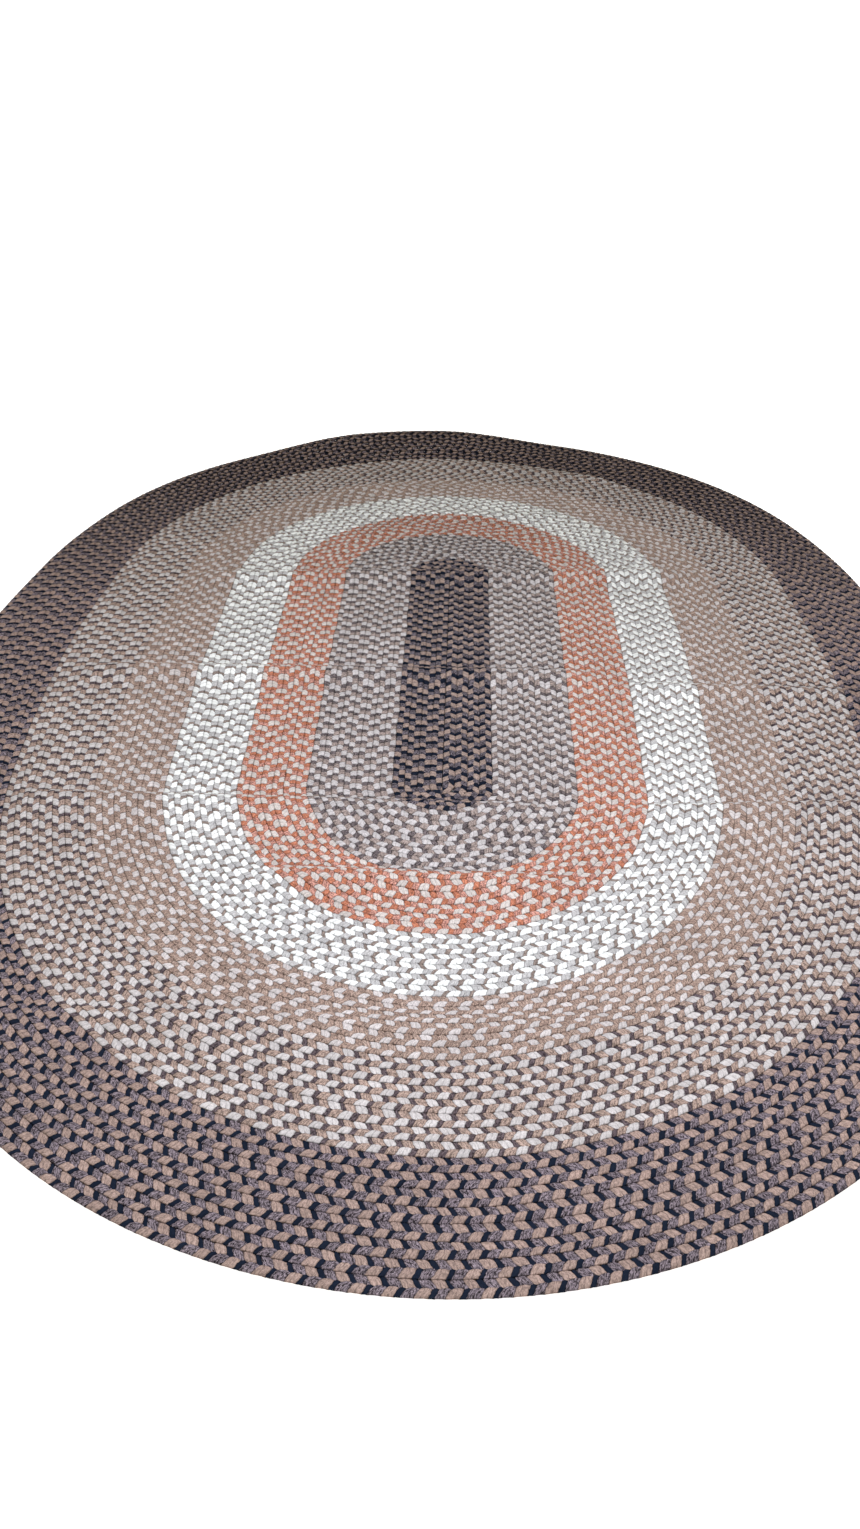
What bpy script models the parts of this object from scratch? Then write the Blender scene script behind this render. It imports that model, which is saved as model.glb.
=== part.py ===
"""Oval braided rug: flat braids laced edge to edge in rounds, in seven bands of yarn.

Metres, +Z up. The rug lies on z = 0 with its length along Y and its middle over the origin.
"""

import math

import bmesh
import bpy

# Driving dimensions, in metres.
SIDE_BOW = 0.067  # how much wider the outermost round is at the middle of the sides, as a share
BOW_REACH = 0.88  # the bow dies out this far from the spine's middle
SPINE_NEAR = 0.523  # length of the middle seam on the near side of its own centre
SPINE_FAR = 0.495
NEAR_PULL = 0.028  # how far the near turning centre of the outermost round has moved in from the spine's end
GROOVE_HEIGHT = 0.0065  # thickness where two braids are laced
CREST_HEIGHT = 0.0098  # thickness at the middle of a braid
RIM_HEIGHT = 0.0045  # the height at which the rug's outer edge reaches furthest
RIM_TUCK = 0.0035  # how far the rim draws in at its top and bottom
BAND_GAP = 0.0004  # parting between two bands
MERGE_DISTANCE = 0.00002

# The bands from the middle out. A round is one braid going once round the rug. The braid is drawn in
# at the far end, and most where a fold crosses the tan band.
BANDS = (
    # name, rounds, braid width along the sides, at the near end, at the far end, colour, roughness
    ("centre_strip", 4, 0.0279, 0.0264, 0.0264, (0.155, 0.115, 0.110), 0.92),
    ("taupe_band", 7, 0.0268, 0.0271, 0.0237, (0.330, 0.290, 0.275), 0.92),
    ("rust_band", 6, 0.0251, 0.0272, 0.0239, (0.480, 0.235, 0.165), 0.92),
    ("white_band", 6, 0.0262, 0.0263, 0.0247, (0.700, 0.690, 0.680), 0.90),
    ("tan_band", 6, 0.0253, 0.0233, 0.0236, (0.390, 0.310, 0.270), 0.92),
    ("pale_band", 7, 0.0263, 0.0272, 0.0252, (0.400, 0.340, 0.320), 0.92),
    ("dark_border", 8, 0.0276, 0.0284, 0.0276, (0.165, 0.125, 0.115), 0.92),
)
SIDE, NEAR, FAR = 2, 3, 4  # columns of the three widths
ROUNDS = sum(band[1] for band in BANDS)

# Soft folds left from storage. Each is a ridge across the rug, with a long slope to the near side
# and a short one to the far side, that dies out at its two ends. The last row is the far rim, which
# curls a little off the floor.
FOLDS = (
    # name, y of the crest at x = 0, its slope, from x, to x, end fade, height, near slope, far slope
    ("middle", -0.012, 0.024, -1.00, 0.46, 0.22, 0.020, 0.080, 0.050),
    ("middle_right", -0.049, 0.000, 0.38, 1.12, 0.14, 0.015, 0.080, 0.043),
    ("far", 0.535, 0.070, -0.80, 0.80, 0.18, 0.018, 0.095, 0.053),
    ("near_left", -0.556, 0.004, -0.98, 0.30, 0.16, 0.019, 0.120, 0.043),
    ("near_right", -0.580, 0.080, 0.34, 1.15, 0.14, 0.018, 0.130, 0.035),
    ("near_middle", -0.782, 0.000, -0.46, 0.34, 0.20, 0.018, 0.075, 0.041),
    ("near_end", -1.155, 0.020, -0.88, 0.40, 0.14, 0.010, 0.085, 0.045),
    ("far_end", 0.965, 0.000, -0.42, 0.42, 0.16, 0.006, 0.060, 0.045),
    ("far_tan", 1.170, 0.050, -0.45, 0.50, 0.16, 0.006, 0.060, 0.045),
    ("far_pale", 1.385, -0.200, -0.25, 0.62, 0.16, 0.006, 0.070, 0.050),
    ("far_rim", 1.645, 0.080, -0.80, 0.38, 0.45, 0.025, 0.300, 0.100),
)

# Sections along the oval: shares of a straight side, and degrees from the side to the end.
SIDE_SHARES = (0.0, 0.22, 0.37, 0.415, 0.455, 0.482, 0.51, 0.70, 0.90, 0.955)
TURN_DEGREES = (0, 3, 6, 10, 15, 21, 27, 34, 42, 51, 60, 69, 78)
UNDERSIDE_SHARES = (0.667, 0.333)  # points across the underside of a band


def reach(row, column):
    """Width of the braids from the spine out to a row, summed over the bands inside it."""
    total, first = 0.0, 0
    for band in BANDS:
        total += max(0.0, min(row - first, band[1])) * band[column]
        first += band[1]
    return total


MIDDLE_SHIFT = (SPINE_NEAR + reach(ROUNDS, NEAR) - SPINE_FAR - reach(ROUNDS, FAR)) / 2


def lift(x, y):
    """Height of the underside above the floor."""
    height = 0.0
    for _, crest, slope, x_from, x_to, end_fade, rise, near, far in FOLDS:
        away = y - crest - slope * x
        across = away / far if away > 0 else -away / near
        fade = min(x - x_from, x_to - x) / end_fade
        if across < 1 and fade > 0:
            along = 0.5 - 0.5 * math.cos(math.pi * min(1.0, fade))
            height = max(height, rise * along * (0.5 + 0.5 * math.cos(math.pi * across)))
    return height


def place(row, station):
    """x and y of a row of the braid, counted from the spine, at a station round the oval."""
    kind, value = station
    half = reach(row, SIDE)
    near_turn = SPINE_NEAR - NEAR_PULL * row / ROUNDS
    if kind in ("right", "left"):
        x = half if kind == "right" else -half
        y = value * (near_turn + SPINE_FAR) - near_turn
    elif kind == "far":
        x = half * math.cos(math.radians(value))
        y = SPINE_FAR + reach(row, FAR) * math.sin(math.radians(value))
    else:
        x = half * math.cos(math.radians(value))
        long_way = SPINE_NEAR + reach(row, NEAR) - near_turn
        y = long_way * math.sin(math.radians(value)) - near_turn
    bow = math.cos(math.pi / 2 * min(1.0, abs(y) / BOW_REACH)) ** 2
    return x * (1 + SIDE_BOW * row / ROUNDS * bow), y + MIDDLE_SHIFT


def stations():
    """Once round the oval, counter-clockwise from the near end of the right side."""
    half_turn = TURN_DEGREES + (90,) + tuple(180 - degrees for degrees in TURN_DEGREES[:0:-1])
    found = [("right", share) for share in SIDE_SHARES]
    found += [("far", degrees) for degrees in half_turn]
    found += [("left", share) for share in (1.0,) + SIDE_SHARES[:0:-1]]
    found += [("near", degrees + 180) for degrees in half_turn]
    return found + found[:1]


def section(first, rounds, width):
    """Points across a band as (row, height): up its inner side, over each braid, and back below."""
    parting = BAND_GAP / 2 / width
    inner = first + parting if first else 0.0
    last = first + rounds
    top = []
    for braid in range(rounds):
        if braid:
            top.append((first + braid, GROOVE_HEIGHT))
        top.append((first + braid + 0.5, CREST_HEIGHT))
    if last == ROUNDS:
        tuck = RIM_TUCK / width
        outer_side = [(last - tuck, GROOVE_HEIGHT + 0.001), (last, RIM_HEIGHT), (last - tuck, 0.0)]
    else:
        outer_side = [(last - parting, GROOVE_HEIGHT), (last - parting, 0.0)]
    below = [(first + rounds * share, 0.0) for share in UNDERSIDE_SHARES]
    loop = [(inner, GROOVE_HEIGHT)] + top + outer_side + below + [(inner, 0.0)]
    return loop + loop[:1] if first else loop


def make_material(name, colour, roughness):
    material = bpy.data.materials.new(name)
    material.use_nodes = True
    shader = material.node_tree.nodes["Principled BSDF"]
    shader.inputs["Base Color"].default_value = (*colour, 1.0)
    shader.inputs["Roughness"].default_value = roughness
    shader.inputs["Metallic"].default_value = 0.0
    material.diffuse_color = (*colour, 1.0)
    return material


def make_band(name, first, rounds, width):
    """A grid bent round the oval, with its seams merged. The centre strip's also close on its spine."""
    around = stations()
    across = section(first, rounds, width)
    bm = bmesh.new()
    bmesh.ops.create_grid(
        bm, x_segments=len(around) - 1, y_segments=len(across) - 1, size=1.0
    )
    for vert in bm.verts:
        i = round((vert.co.x + 1) / 2 * (len(around) - 1))
        j = round((vert.co.y + 1) / 2 * (len(across) - 1))
        row, height = across[j]
        x, y = place(row, around[i])
        vert.co = (x, y, lift(x, y) + height)
    bmesh.ops.remove_doubles(bm, verts=bm.verts, dist=MERGE_DISTANCE)
    bmesh.ops.recalc_face_normals(bm, faces=bm.faces)
    mesh = bpy.data.meshes.new(name)
    bm.to_mesh(mesh)
    bm.free()
    return mesh


def main():
    for obj in list(bpy.data.objects):
        bpy.data.objects.remove(obj)
    collection = bpy.data.collections.new("braided_rug")
    bpy.context.scene.collection.children.link(collection)
    first = 0
    for name, rounds, side_width, _, _, colour, roughness in BANDS:
        mesh = make_band(name, first, rounds, side_width)
        mesh.materials.append(make_material(name, colour, roughness))
        mesh.shade_smooth()
        mesh.set_sharp_from_angle(angle=math.radians(50))
        collection.objects.link(bpy.data.objects.new(name, mesh))
        first += rounds


main()
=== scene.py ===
import math
import random

import bpy
import numpy as np
from mathutils import Matrix, Vector


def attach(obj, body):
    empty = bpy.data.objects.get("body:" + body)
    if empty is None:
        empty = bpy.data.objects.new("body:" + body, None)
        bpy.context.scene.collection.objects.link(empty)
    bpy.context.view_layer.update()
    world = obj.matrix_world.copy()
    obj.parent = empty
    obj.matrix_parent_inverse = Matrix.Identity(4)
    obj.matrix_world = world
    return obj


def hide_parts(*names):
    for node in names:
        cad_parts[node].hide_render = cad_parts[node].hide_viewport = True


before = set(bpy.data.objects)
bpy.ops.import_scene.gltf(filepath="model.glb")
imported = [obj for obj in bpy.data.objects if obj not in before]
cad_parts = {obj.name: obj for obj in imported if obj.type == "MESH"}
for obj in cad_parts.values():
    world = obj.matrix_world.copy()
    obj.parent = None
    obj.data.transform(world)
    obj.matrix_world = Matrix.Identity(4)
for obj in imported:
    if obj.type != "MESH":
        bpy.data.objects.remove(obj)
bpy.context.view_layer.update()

bpy.ops.object.select_all(action="DESELECT")
print("stage: frame loaded")


# the oval that every band follows, in metres
oval = {
    "sideBow": 0.067,  # extra width of the outermost round at the middle of the sides, as a share
    "bowReach": 0.88,  # how far from the middle of the rug the bow dies out
    "spineNear": 0.523,  # the middle seam, on the near side of its own centre
    "spineFar": 0.495,
    "nearPull": 0.028,  # how far the outermost round's near turning centre has moved in from the seam's end
    "eye": 0.006,  # what the first round leaves open at the seam's ends, in braid widths
    "lapPoints": 2401,  # points round the oval from which distances are measured
}

# how a braid is made, in metres where nothing else is said
braid = {
    "pitch": 0.0462,  # length in which all three strands come up once
    "middleHeight": 0.0082,  # height along the middle line
    "usualWidth": 0.026,
    "press": 0.0006,  # how far plies reach over the lacing line
    "creasePress": 0.5,  # the share of that at the crease between two strands
    "wobble": 0.040,  # sideways wander of the rows, in braid widths
    "zigzag": 0.08,  # how far strands reach over the middle line, in half widths
    "zigzagBack": -0.6,  # the share of that where a strand of the inner half reaches over
    "middleWobble": 0.06,  # sideways wander of that middle line, in half widths
    "pitchWander": 0.05,  # forward and backward wander of the strands, in pitches
    "uneven": 0.034,  # how far each strand's edges are off their places, in pitches
    "unevenHeight": 0.0004,
}

# at half a pitch a round two neighbours lie in step, and their strands meet in an arch or a v
inStep = {
    "rightStep": 0.62,  # how far each round's pattern stands behind the last one's, in pitches
    "rightStray": 0.12,  # how much that varies
    "leftStep": 0.50,
    "leftStray": 0.07,
}

# heights across half a braid, from near its middle line to its edge: share of the half width, height at
# the middle of a ply, height at the crease between two strands
halfProfile = (
    (0.46, 0.0102, 0.0079),
    (0.87, 0.0092, 0.0064),
    (1.00, 0.0070, 0.0056),
)
rimProfile = (
    (0.46, 0.0099, 0.0079),
    (0.87, 0.0080, 0.0060),
    (1.00, 0.0045, 0.0036),
)
plyMarks = {1: (0.0, 0.5), 2: (0.0, 0.28, 0.72)}  # a strand's crease and the middles of its plies, by plies

# folds left from storage: y of the crest at x = 0, how it slants, from x, to x, length of the fade at its
# two ends, height, length of its near slope and of its far slope
folds = {
    "middle": (-0.012, 0.024, -1.00, 0.46, 0.22, 0.020, 0.080, 0.050),
    "middleRight": (-0.049, 0.000, 0.38, 1.12, 0.14, 0.015, 0.080, 0.043),
    "far": (0.535, 0.070, -0.80, 0.80, 0.18, 0.018, 0.095, 0.053),
    "nearLeft": (-0.556, 0.004, -0.98, 0.30, 0.16, 0.019, 0.120, 0.043),
    "nearRight": (-0.580, 0.080, 0.34, 1.15, 0.14, 0.018, 0.130, 0.035),
    "nearMiddle": (-0.782, 0.000, -0.46, 0.34, 0.20, 0.018, 0.075, 0.041),
    "nearEnd": (-1.155, 0.020, -0.88, 0.40, 0.14, 0.010, 0.085, 0.045),
    "farEnd": (0.965, 0.000, -0.42, 0.42, 0.16, 0.006, 0.060, 0.045),
    "farTan": (1.170, 0.050, -0.45, 0.50, 0.16, 0.006, 0.060, 0.045),
    "farPale": (1.385, -0.200, -0.25, 0.62, 0.16, 0.006, 0.070, 0.050),
    "farRim": (1.645, 0.080, -0.80, 0.38, 0.45, 0.025, 0.300, 0.100),
}

# waves in a lap that a wander is made of, fewest and most, and what its seed adds to the round's number
rowWaves, pitchWaves, middleWaves = (6, 40), (2, 12), (30, 90)
pitchSeed, middleSeed = 1000, 2000

# the seven bands, from the middle out: each is one piece with its own yarns
# side, near, far: a braid's width along the sides, at the near end and at the far end
# slant: how far a strand runs forward on its way in to the middle of the braid
# dips: how dark the painted shade in the dips between its strands gets towards the far end
# starts: where each round's pattern stands at the middle of the near end, in pitches
# strands: colour, share of the pitch, plies laid side by side in the strand, how flecked it is

centreStrip = {
    "node": "centre_strip", "rounds": 4, "side": 0.0279, "near": 0.0264, "far": 0.0264,
    "slant": 0.0045, "dips": 0.10,
    "strands": (((0.325, 0.245, 0.220), 0.38, 2, 0.34), ((0.011, 0.015, 0.027), 0.26, 1, 0.15),
                ((0.110, 0.095, 0.114), 0.36, 2, 0.85)),
}
taupeBand = {
    "node": "taupe_band", "rounds": 7, "side": 0.0268, "near": 0.0271, "far": 0.0237,
    "slant": 0.0050, "dips": 0.80,
    "strands": (((0.55, 0.52, 0.545), 0.42, 2, 0.18), ((0.130, 0.108, 0.116), 0.24, 1, 0.60),
                ((0.320, 0.260, 0.248), 0.35, 2, 0.45)),
}
rustBand = {
    "node": "rust_band", "rounds": 6, "side": 0.0251, "near": 0.0272, "far": 0.0239,
    "slant": 0.0055, "dips": 0.48,
    "strands": (((0.605, 0.55, 0.54), 0.42, 2, 0.18), ((0.445, 0.172, 0.110), 0.27, 1, 0.40),
                ((0.47, 0.240, 0.200), 0.31, 2, 0.60)),
}
whiteBand = {
    "node": "white_band", "rounds": 6, "side": 0.0262, "near": 0.0263, "far": 0.0247,
    "slant": 0.0065, "dips": 0.0,
    "starts": (0.35, 0.45, 0.50, 0.95, 0.03, 0.40),
    "strands": (((0.26, 0.208, 0.190), 0.15, 1, 0.35), ((0.87, 0.88, 0.90), 0.48, 2, 0.03),
                ((0.50, 0.49, 0.51), 0.37, 2, 0.24)),
}
tanBand = {
    "node": "tan_band", "rounds": 6, "side": 0.0253, "near": 0.0233, "far": 0.0236,
    "slant": 0.0062, "dips": 0.0,
    "starts": (0.10, 0.55, 0.65, 0.70, 0.12, 0.20),
    "strands": (((0.59, 0.545, 0.56), 0.40, 2, 0.18), ((0.320, 0.230, 0.198), 0.29, 2, 0.50),
                ((0.370, 0.274, 0.238), 0.31, 2, 0.50)),
}
paleBand = {
    "node": "pale_band", "rounds": 7, "side": 0.0263, "near": 0.0272, "far": 0.0252,
    "slant": 0.0070, "dips": 0.22,
    "starts": (0.20, 0.28, 0.31, 0.41, 0.88, 0.96, 0.02),
    "strands": (((0.565, 0.532, 0.548), 0.45, 2, 0.16), ((0.100, 0.077, 0.087), 0.18, 1, 0.60),
                ((0.355, 0.262, 0.229), 0.37, 2, 0.50)),
}
darkBorder = {
    "node": "dark_border", "rounds": 8, "side": 0.0276, "near": 0.0284, "far": 0.0276,
    "slant": 0.0078, "dips": 0.85,
    "starts": (0.77, 0.72, 0.10, 0.95, 0.47, 0.44, 0.36, 0.86),
    "strands": (((0.356, 0.259, 0.232), 0.42, 2, 0.30), ((0.012, 0.017, 0.032), 0.18, 1, 0.15),
                ((0.157, 0.129, 0.152), 0.40, 2, 0.85)),
}
bands = (centreStrip, taupeBand, rustBand, whiteBand, tanBand, paleBand, darkBorder)
allRounds = sum(band["rounds"] for band in bands)


def reach(row, width):  # how far a row of the rug lies from the spine, summed over the bands inside it
    total, first = 0.0, 0
    for band in bands:
        total = total + np.clip(row - first, 0, band["rounds"]) * band[width]
        first += band["rounds"]
    return total


nearReach = oval["spineNear"] + reach(allRounds, "near")
farReach = oval["spineFar"] + reach(allRounds, "far")
middleShift = (nearReach - farReach) / 2  # puts the middle of the rug's length over the origin


# a lap runs from 0 to 1 up the right side, 1 to 2 round the far end, 2 to 3 down the left side, and 3 to 4
# round the near end
rightMiddle, leftMiddle, nearMiddle = 0.5, 2.5, 3.5


def place(row, lap):  # x and y of a row at a share of the lap
    row, lap = np.broadcast_arrays(row, np.mod(lap, 4))
    quarter = np.minimum(lap.astype(int), 3)
    share = lap - quarter
    half, nearTurn = reach(row, "side"), oval["spineNear"] - oval["nearPull"] * row / allRounds
    upright = np.where(quarter == 0, share, 1 - share)
    turn = np.pi * share + np.where(quarter == 3, np.pi, 0.0)
    nearWay = oval["spineNear"] + reach(row, "near") - nearTurn
    x = np.choose(quarter, [half, half * np.cos(turn), -half, half * np.cos(turn)])
    side = upright * (nearTurn + oval["spineFar"]) - nearTurn
    y = np.choose(quarter, [side, oval["spineFar"] + reach(row, "far") * np.sin(turn), side,
                            nearWay * np.sin(turn) - nearTurn])
    bow = np.cos(np.pi / 2 * np.minimum(1, np.abs(y) / oval["bowReach"])) ** 2
    return x * (1 + oval["sideBow"] * row / allRounds * bow), y + middleShift


def lift(x, y):  # height of the underside above the floor
    height = np.zeros_like(x)
    for crest, slope, xFrom, xTo, endFade, rise, near, far in folds.values():
        away = y - crest - slope * x
        across = np.minimum(1, np.where(away > 0, away / far, -away / near))
        fade = np.clip(np.minimum(x - xFrom, xTo - x) / endFade, 0, 1)
        bump = rise * (0.5 - 0.5 * np.cos(np.pi * fade)) * (0.5 + 0.5 * np.cos(np.pi * across))
        height = np.maximum(height, bump)
    return height


def wander(lap, seed, waves):  # a smooth closed line round the lap, from about -1 to 1: four waves in sum
    dice = random.Random(seed)
    total = 0
    for _ in range(4):
        total = total + np.cos(2 * np.pi * (lap / 4 * dice.randint(*waves) + dice.random())) / 2
    return total


def walkRound(number):  # laps, and how far one has walked along the middle of the braid at each
    laps = np.linspace(0, 4, oval["lapPoints"])
    x, y = place(number + 0.5, laps)
    return laps, np.concatenate([[0], np.cumsum(np.hypot(np.diff(x), np.diff(y)))])


def setPattern(number, band, inBand, middles, dice):
    # middles: how far along the round the middles of the right side, left side and near end come, in pitches
    # returned: where the pattern starts, and how far it has shifted from there by each of six laps
    right, left, nearEnd = middles
    right = right - number * inStep["rightStep"] + dice.normal(0, inStep["rightStray"])
    left = left - number * inStep["leftStep"] + dice.normal(0, inStep["leftStray"])
    start = nearEnd + (band["starts"][inBand] if "starts" in band else dice.random())
    toRight, toLeft = ((side - start + 0.5) % 1 - 0.5 for side in (right, left))
    return start, (0, 1, 2, 3, nearMiddle, 4), (toRight, toRight, toLeft, toLeft, 0.0, toRight)


def layStations(strands):
    # along one pitch of half a braid: where each crease and each ply comes, in pitches and in strands
    marks, turns, creases, start = [], [], [], 0.0
    for index, (_, share, plies, _) in enumerate(strands):
        for inStrand in plyMarks[plies]:
            marks.append(start + share * inStrand)
            turns.append(index + inStrand)
            creases.append(inStrand == 0.0)
        start += share
    return np.array(marks), np.array(turns), np.array(creases)


def layHalves(strands, pitches, dice):
    # outer and inner half of a braid, half a pitch apart: for each step its place along the braid in
    # pitches and whether it's a crease, and for each step and the end its turn in strands
    marks, turns, creases = layStations(strands)
    perPitch = len(marks)
    steps = perPitch * pitches
    halves = []
    for later, shift in ((0, 0.0), (perPitch // 2, 0.5)):
        mark = np.arange(steps + 1) - later
        along = mark // perPitch + marks[mark % perPitch] + shift
        turn = len(strands) * (mark // perPitch) + turns[mark % perPitch] + len(strands)  # none below 0
        off = dice.uniform(-braid["uneven"], braid["uneven"], steps)
        halves.append({"along": along[:-1] + off, "turn": turn, "isCrease": creases[mark[:-1] % perPitch]})
    return halves


def layRings(number, outer, inner):
    # lines of points along the braid, right round its section: across in half widths, place along, height
    between = (outer["along"] + inner["along"]) / 2
    rings = []
    for across, crest, crease in halfProfile[::-1]:
        rings.append((-across, inner["along"], np.where(inner["isCrease"], crease, crest)))
    rings.append((0.0, between, np.full(len(between), braid["middleHeight"])))
    for across, crest, crease in halfProfile if number + 1 < allRounds else rimProfile:
        rings.append((across, outer["along"], np.where(outer["isCrease"], crease, crest)))
    rings.append((0.0, between, np.zeros(len(between))))
    return rings


def findLane(number, across, lap, outer, inner):
    # the row of the rug that a ring lies on. Neighbouring rounds share the wander of the line between them
    innerEdge = wander(lap, number, rowWaves) if number else 0 * lap
    outerEdge = wander(lap, number + 1, rowWaves) if number + 1 < allRounds else 0 * lap
    share = (across + 1) / 2
    lane = number + share + braid["wobble"] * (innerEdge * (1 - share) + outerEdge * share)
    if abs(across) == 1:
        half = outer if across > 0 else inner
        pressed = across * np.where(half["isCrease"], braid["creasePress"], 1.0) * braid["press"]
        lane = lane + pressed / braid["usualWidth"]
    elif across == 0:
        reachOver = np.where(outer["isCrease"], 1.0, braid["zigzagBack"]) * braid["zigzag"] / 2
        lane = lane + reachOver + braid["middleWobble"] / 2 * wander(lap, middleSeed + number, middleWaves)
    return lane


def wrapRings(count, steps):  # faces between neighbouring rings and steps, closed both ways, facing out
    here, there = np.meshgrid(np.arange(steps), np.arange(count), indexing="ij")
    onward, beside = (here + 1) % steps, (there + 1) % count
    return np.stack([here * count + there, here * count + beside,
                     onward * count + beside, onward * count + there], axis=-1)


def mapPattern(number, rings, outer, inner):
    # the pattern's coordinates: U counts strands along the braid, V counts half braids across the rug
    across = np.array([ring[0] for ring in rings])
    beside = np.roll(across, -1)
    onOuter = (across + beside > 0)[None, :]
    here = np.where(onOuter, outer["turn"][:-1, None], inner["turn"][:-1, None])
    onward = np.where(onOuter, outer["turn"][1:, None], inner["turn"][1:, None])
    v = np.broadcast_to(2 * number + 1 + across, here.shape)
    vBeside = np.broadcast_to(2 * number + 1 + beside, here.shape)
    return np.stack([np.stack([here, v], -1), np.stack([here, vBeside], -1),
                     np.stack([onward, vBeside], -1), np.stack([onward, v], -1)], axis=-2)


def makeRound(number, band, inBand):
    # one braid once round the rug, as a closed flat rope: points, faces, pattern coordinates and length
    laps, walked = walkRound(number)
    length = walked[-1]
    pitches = round(length / braid["pitch"])
    pitch = length / pitches
    dice = np.random.default_rng(number)
    middles = np.interp((rightMiddle, leftMiddle, nearMiddle), laps, walked) / pitch
    start, shiftLaps, shifts = setPattern(number, band, inBand, middles, dice)
    outer, inner = layHalves(band["strands"], pitches, dice)
    rings = layRings(number, outer, inner)
    points = []
    for index, (across, along, height) in enumerate(rings):
        way = (along + start) * pitch - band["slant"] * abs(across)
        lap = np.interp(np.mod(way, length), walked, laps)
        seed = pitchSeed + number
        stray = wander(lap, seed, pitchWaves) - wander(nearMiddle, seed, pitchWaves)
        way = way + pitch * (braid["pitchWander"] * stray + np.interp(lap, shiftLaps, shifts))
        lap = np.interp(np.mod(way, length), walked, laps)
        lane = findLane(number, across, lap, outer, inner)
        if 0 < index < len(rings) - 1:
            height = height + dice.uniform(-braid["unevenHeight"], braid["unevenHeight"], len(height))
        # the first round's two sides meet along the spine, and turn round a small eye at its ends
        x, y = place(np.maximum(lane, np.where(lap % 2 < 1, 0.0, oval["eye"])), lap)
        points.append(np.stack([x, y, lift(x, y) + height], axis=-1))
    points = np.stack(points, axis=1)  # steps, rings, 3
    faces = wrapRings(len(rings), len(points))
    uv = mapPattern(number, rings, outer, inner)
    return points.reshape(-1, 3), faces.reshape(-1, 4), uv.reshape(-1, 2), length


def makeBand(band, first):
    allPoints, allFaces, allUv, offset, length = [], [], [], 0, 0.0
    for inBand in range(band["rounds"]):
        points, faces, uv, roundLength = makeRound(first + inBand, band, inBand)
        allPoints.append(points)
        allFaces.append(faces + offset)
        allUv.append(uv)
        offset += len(points)
        length += roundLength
    mesh = bpy.data.meshes.new(band["node"] + "_braids")
    points, faces, uv = map(np.concatenate, (allPoints, allFaces, allUv))
    mesh.vertices.add(len(points))
    mesh.vertices.foreach_set("co", points.ravel())
    mesh.loops.add(faces.size)
    mesh.loops.foreach_set("vertex_index", faces.ravel())
    mesh.polygons.add(len(faces))
    mesh.polygons.foreach_set("loop_start", np.arange(0, faces.size, 4))
    mesh.polygons.foreach_set("use_smooth", np.ones(len(faces), bool))
    mesh.uv_layers.new(name="strands")
    mesh.uv_layers["strands"].data.foreach_set("uv", uv.ravel())
    mesh.update(calc_edges=True)
    mesh.validate()
    piece = bpy.data.objects.new(band["node"] + "_braids", mesh)
    bpy.context.scene.collection.objects.link(piece)
    print("stage:", piece.name, len(faces) * 2, "triangles", round(length, 1), "m of braid")
    return piece, length


class Wire:
    # one socket of a material's node tree, so that sums on it can be written as sums
    def __init__(self, tree, socket):
        self.tree, self.socket = tree, socket

    def add(self, kind, settings, sockets, output=0):
        node = self.tree.nodes.new(kind)
        for name, value in settings.items():
            setattr(node, name, value)
        for key, value in sockets.items():
            if isinstance(value, Wire):
                self.tree.links.new(value.socket, node.inputs[key])
            else:
                node.inputs[key].default_value = value
        return Wire(self.tree, node.outputs[output])

    def beside(self, output):  # another output of the same node
        return Wire(self.tree, self.socket.node.outputs[output])

    def calc(self, operation, *values):
        return self.add("ShaderNodeMath", {"operation": operation}, dict(enumerate(values)))

    def own(self, operation, *values):  # the same, with this socket first
        return self.calc(operation, self, *values)

    def __add__(self, other):
        return self.calc("ADD", self, other)

    def __radd__(self, other):
        return self.calc("ADD", other, self)

    def __sub__(self, other):
        return self.calc("SUBTRACT", self, other)

    def __rsub__(self, other):
        return self.calc("SUBTRACT", other, self)

    def __mul__(self, other):
        return self.calc("MULTIPLY", self, other)

    def __rmul__(self, other):
        return self.calc("MULTIPLY", other, self)

    def mix(self, a, b, factor, blend="MIX"):  # colours
        return self.add("ShaderNodeMix", {"data_type": "RGBA", "blend_type": blend},
                        {0: factor, 6: a, 7: b}, 2)

    def grey(self):
        return self.add("ShaderNodeCombineColor", {}, {0: self, 1: self, 2: self})

    def noise(self, scale, detail):
        return self.add("ShaderNodeTexNoise", {}, {"Vector": self, "Scale": scale, "Detail": detail})

    def ease(self, low, high, toLow=0.0, toHigh=1.0):
        return self.add("ShaderNodeMapRange", {"interpolation_type": "SMOOTHSTEP"},
                        {"Value": self, "From Min": low, "From Max": high, "To Min": toLow, "To Max": toHigh})


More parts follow.
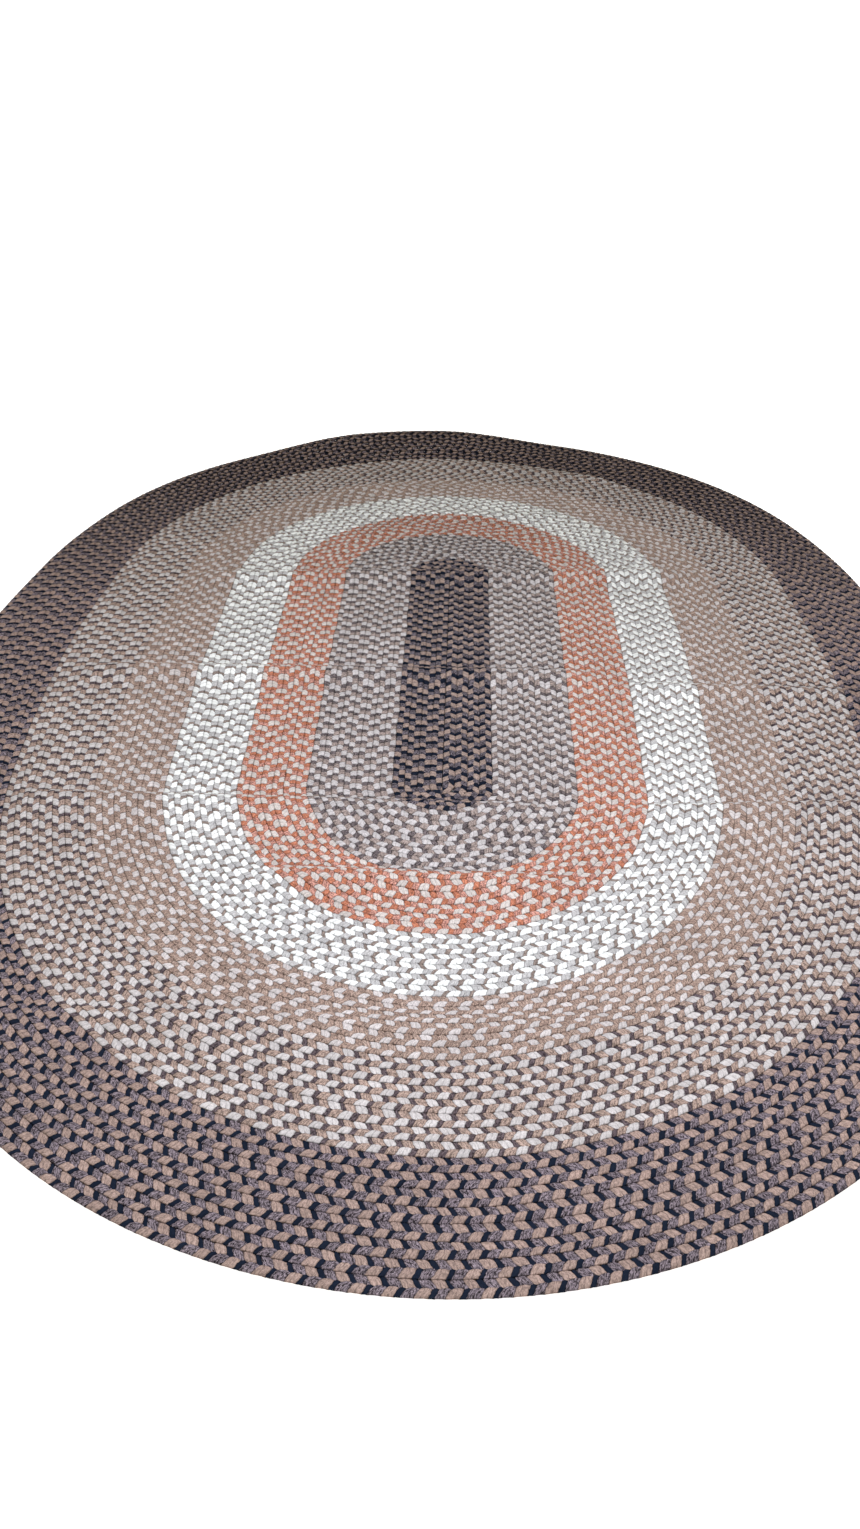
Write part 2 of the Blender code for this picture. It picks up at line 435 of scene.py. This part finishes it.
yarn = {
    "edgeWander": 0.20,  # how far the strands' edges stray, in strands
    "edgeScale": 190.0,
    "creaseShade": 0.50,  # how dark the painted shade in the line between two strands is
    "plyShade": 0.35,  # how dark the painted shade in the line between two plies is
    "lineSharpness": 5.0,  # how narrow both lines are
    "lobeShade": 0.34,  # how dark the painted shade round the rounded end of each ply is
    "lobe": (1.1, 1.75),  # where that starts and is full, as a squared distance from the ply's middle
    "plyStagger": 0.16,  # how far the ends of a strand's plies lie apart, in half braids
    "grooveShade": 0.30,  # how dark the painted shade in the laced line between two braids is
    "groove": (0.92, 1.0),  # where it starts and is full, from the braid's middle line to its edge
    "middleShade": 0.08,  # how dark the painted shade along the braid's middle line is
    "middle": (0.0, 0.07),  # where that ends, from the middle line to the edge
    "dipsAcross": (0.45, 0.95),  # where the painted shade in the dips between strands lies, across the braid and across the strand
    "dipsAlong": (0.55, 0.95),
    "dipsFar": (0.30, 1.25),  # y from where the painted shade in the dips gets darker towards the far end, and where it is darkest
    "streaks": (3.6, 2.1),  # flecks along a strand: how many across a ply, how many along half a braid
    "fineStreaks": (7.5, 5.0),
    "streakStep": (7.3, 3.1),  # moves the flecks on from strand to strand and from row to row
    "fleck": (0.38, 0.62),  # noise from the darkest to the lightest fleck
    "pale": (0.56, 0.72),  # noise in which the palest fibres show
    "fibreScale": 900.0,
    "fibreChange": 0.10,
    "strandChange": 0.10,  # how much one strand's turn differs from the next
    "patchScale": 5.0,
    "patch": (0.25, 0.75),
    "patchChange": 0.05,
    "roughness": 0.95,
    "specular": 0.0,
    "bump": 0.6,
    "bumpDepth": 0.0018,
    "bumpShares": (0.6, 0.35, 0.25, 0.2),  # of the ply's roundness, the flecks, the fine flecks, the fibre
}


def makeYarn(band):
    material = bpy.data.materials.new(band["node"] + "_yarn")
    material.use_nodes = True
    tree = material.node_tree
    shader = tree.nodes["Principled BSDF"]
    shader.inputs["Roughness"].default_value = yarn["roughness"]
    shader.inputs["Specular IOR Level"].default_value = yarn["specular"]
    start = Wire(tree, None)
    where = start.add("ShaderNodeTexCoord", {}, {}, 3)
    strandsMap = start.add("ShaderNodeUVMap", {"uv_map": "strands"}, {})
    mapU = start.add("ShaderNodeSeparateXYZ", {}, {0: strandsMap})
    v = mapU.beside(1)
    # which strand it is, and where in it
    u = mapU + (where.noise(yarn["edgeScale"], 1.0) - 0.5) * yarn["edgeWander"]
    count = u.own("FLOOR")
    strand = count.own("FLOORED_MODULO", 3.0)
    isSecond, isThird = strand.own("COMPARE", 1.0, 0.5), strand.own("COMPARE", 2.0, 0.5)
    isFirst = 1 - isSecond - isThird
    within = u - count  # 0 to 1 across the strand
    crossing = 2 * within - 1
    crease = (crossing * crossing).own("POWER", yarn["lineSharpness"])
    colours, _, plies, fleckings = zip(*band["strands"])
    first, second, third = ((*colour, 1.0) for colour in colours)
    base = start.mix(start.mix(first, second, isSecond), third, isThird)
    # the plies side by side in a strand, and the row of half braids that they are in
    ply = within * (isFirst * plies[0] + isSecond * plies[1] + isThird * plies[2])
    plyWithin = 2 * ply.own("FRACT") - 1
    plySquare = plyWithin * plyWithin
    plyLine = plySquare.own("POWER", yarn["lineSharpness"])
    row = v.own("FLOOR")
    plyEnd = v - row + (ply.own("FLOOR").own("FLOORED_MODULO", 2.0) - 0.5) * yarn["plyStagger"]
    rowSquare = (2 * plyEnd - 1) * (2 * plyEnd - 1)  # 0 at the middle of a half braid, 1 at its two edges
    edge = (2 * (v * 0.5).own("FRACT") - 1).own("ABSOLUTE")  # 0 at the braid's middle, 1 at its edge
    groove, middle = edge.ease(*yarn["groove"]), edge.ease(*yarn["middle"], 1.0, 0.0)
    # flecks of darker and lighter fibre, which run with the strand
    lane = ply + count * yarn["streakStep"][0] + row * yarn["streakStep"][1]
    streaks = []
    for across, along in (yarn["streaks"], yarn["fineStreaks"]):
        spot = start.add("ShaderNodeCombineXYZ", {}, {0: lane * across, 1: v * along})
        streaks.append(spot.noise(1.0, 1.0))
    fleck = (streaks[0] * 0.5 + streaks[1] * 0.5).ease(*yarn["fleck"], -1.0, 1.0)
    pale = streaks[1].ease(*yarn["pale"])
    flecked = isFirst * fleckings[0] + isSecond * fleckings[1] + isThird * fleckings[2]
    fibre = where.noise(yarn["fibreScale"], 2.0)
    # every strand's turn has its own shade, and so has every patch of the rug
    cell = start.add("ShaderNodeCombineXYZ", {}, {0: count, 1: row})
    chance = start.add("ShaderNodeTexWhiteNoise", {"noise_dimensions": "2D"}, {"Vector": cell})
    turnLight = chance * (2 * yarn["strandChange"]) + (1 - yarn["strandChange"])
    patch = where.noise(yarn["patchScale"], 3.0)
    patchLight = patch.ease(*yarn["patch"], 1 - yarn["patchChange"], 1 + yarn["patchChange"])
    # painted shade: the corners round each ply's rounded end are painted dark, and the dips are painted
    # darker towards the far end
    lobe = (plySquare + rowSquare).ease(*yarn["lobe"])
    alongDip = crossing.own("ABSOLUTE").ease(*yarn["dipsAlong"])
    dip = 1 - (1 - edge.ease(*yarn["dipsAcross"])) * (1 - alongDip)
    towardsFar = start.add("ShaderNodeSeparateXYZ", {}, {0: where}, 1).ease(*yarn["dipsFar"])
    # painted shade in the lines between strands and between plies
    shade = (1 - yarn["creaseShade"] * crease) * (1 - yarn["plyShade"] * plyLine)
    # painted shade at the corners of the ply ends
    shade = shade * (1 - yarn["lobeShade"] * lobe)
    # painted shade in the groove between braids and along the braid's middle line
    shade = shade * (1 - yarn["grooveShade"] * groove) * (1 - yarn["middleShade"] * middle)
    # painted shade in the dips between strands, darker towards the far end
    shade = shade * (1 - band["dips"] * towardsFar * dip)
    flecks = 1 + flecked * fleck + flecked * flecked * pale
    fibreLight = (1 - yarn["fibreChange"]) + 2 * yarn["fibreChange"] * fibre
    light = shade * flecks * turnLight * patchLight * fibreLight
    colour = start.mix(base, light.grey(), 1.0, "MULTIPLY")
    tree.links.new(colour.socket, shader.inputs["Base Color"])
    plyShare, streakShare, fineShare, fibreShare = yarn["bumpShares"]
    relief = (1 - plySquare) * plyShare + streaks[0] * streakShare + streaks[1] * fineShare
    relief = relief + fibre * fibreShare
    bump = start.add("ShaderNodeBump", {}, {"Strength": yarn["bump"], "Distance": yarn["bumpDepth"],
                                            "Height": relief})
    tree.links.new(bump.socket, shader.inputs["Normal"])
    return material


first = 0
for band in bands:
    piece, length = makeBand(band, first)
    piece.data.materials.append(makeYarn(band))
    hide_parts(band["node"])
    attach(piece, "root")
    # unrolled, a band is as wide as its rounds and as long as one of them is in the mean
    length / band["rounds"]
    first += band["rounds"]
print("stage: bands made")


studio = {
    "floorSize": 90.0,
    "floorDrop": 0.0005,  # keeps the floor just under the rug's underside
    "floorGlow": 1.0,
    "underRug": (1.05, 1.45),  # half the sizes of the oval under the rug where the floor doesn't glow
    "underEdge": (0.98, 1.0),  # where in that oval the glow starts and is full
    "wallRadius": 44.0,
    "wallHeight": 60.0,
    "wallFoot": -1.0,  # below the floor
    "wallSides": 96,
    "wallGlow": 1.0,
    "pale": 0.90,
    "roughness": 0.9,
    "worldColour": (1.0, 0.86, 0.10),
    "worldStrength": 0.14,
    "keyPower": 113.0,
    "keySize": 1.6,
    "keyPlace": (0.16, -1.25, 2.85),
    "keyAim": (0.0, -0.4, 0.0),
    "keyColour": (0.955, 0.975, 1.055),
}


def makePale(name, glow):  # a pale surface with a light of its own
    material = bpy.data.materials.new(name)
    material.use_nodes = True
    shader = material.node_tree.nodes["Principled BSDF"]
    shader.inputs["Base Color"].default_value = (studio["pale"], studio["pale"], studio["pale"], 1.0)
    shader.inputs["Roughness"].default_value = studio["roughness"]
    shader.inputs["Emission Color"].default_value = (1.0, 1.0, 1.0, 1.0)
    shader.inputs["Emission Strength"].default_value = glow
    return material


def shadeUnderRug(material):  # no glow under the rug, or it would shine up between the braids
    tree = material.node_tree
    start = Wire(tree, None)
    where = start.add("ShaderNodeTexCoord", {}, {}, 3)
    halfWidth, halfLength = studio["underRug"]
    scaled = start.add("ShaderNodeVectorMath", {"operation": "MULTIPLY"},
                       {0: where, 1: (1 / halfWidth, 1 / halfLength, 0.0)})
    away = start.add("ShaderNodeVectorMath", {"operation": "LENGTH"}, {0: scaled}, 1)
    glow = away.ease(*studio["underEdge"]).grey()
    tree.links.new(glow.socket, tree.nodes["Principled BSDF"].inputs["Emission Color"])


bpy.ops.mesh.primitive_plane_add(size=studio["floorSize"], location=(0, 0, -studio["floorDrop"]))
floor = bpy.context.object
floor.name = "floor"
floor.data.materials.append(makePale("paleFloor", studio["floorGlow"]))
shadeUnderRug(floor.data.materials[0])

# a pale wall all round, which the camera sees and which casts no light
wallMiddle = studio["wallHeight"] / 2 + studio["wallFoot"]
bpy.ops.mesh.primitive_cylinder_add(vertices=studio["wallSides"], radius=studio["wallRadius"],
                                    depth=studio["wallHeight"], end_fill_type="NOTHING",
                                    location=(0, 0, wallMiddle))
wall = bpy.context.object
wall.name = "wall"
wall.data.materials.append(makePale("paleWall", studio["wallGlow"]))
wall.visible_diffuse = wall.visible_glossy = wall.visible_shadow = False

world = bpy.data.worlds.new("studio")
world.use_nodes = True
world.node_tree.nodes["Background"].inputs["Color"].default_value = (*studio["worldColour"], 1.0)
world.node_tree.nodes["Background"].inputs["Strength"].default_value = studio["worldStrength"]
bpy.context.scene.world = world

bpy.ops.object.light_add(type="AREA", location=studio["keyPlace"])
key = bpy.context.object
key.name = "keyLight"
key.data.energy = studio["keyPower"]
key.data.size = studio["keySize"]
key.data.color = studio["keyColour"]
key.rotation_euler = (Vector(studio["keyAim"]) - key.location).to_track_quat("-Z", "Y").to_euler()

eye = {
    "place": (0.0136, -2.4970, 1.5673),
    "lens": 27.077,  # in millimetres
    "sensor": 36.0,  # along the picture's long side
    "pitchDown": 36.524,  # in degrees
    "yaw": 1.168,
    "roll": -1.004,
    "farthest": 200.0,
}
camera = bpy.data.objects.new("camera", bpy.data.cameras.new("camera"))
bpy.context.scene.collection.objects.link(camera)
camera.data.lens = eye["lens"]
camera.data.sensor_width = eye["sensor"]
camera.data.clip_end = eye["farthest"]
turned = (Matrix.Rotation(math.radians(eye["yaw"]), 4, "Z")
          @ Matrix.Rotation(math.radians(90 - eye["pitchDown"]), 4, "X")
          @ Matrix.Rotation(math.radians(-eye["roll"]), 4, "Z"))
camera.matrix_world = Matrix.Translation(eye["place"]) @ turned
bpy.context.scene.camera = camera
bpy.context.scene.view_settings.view_transform = "Standard"
print("stage: studio made")
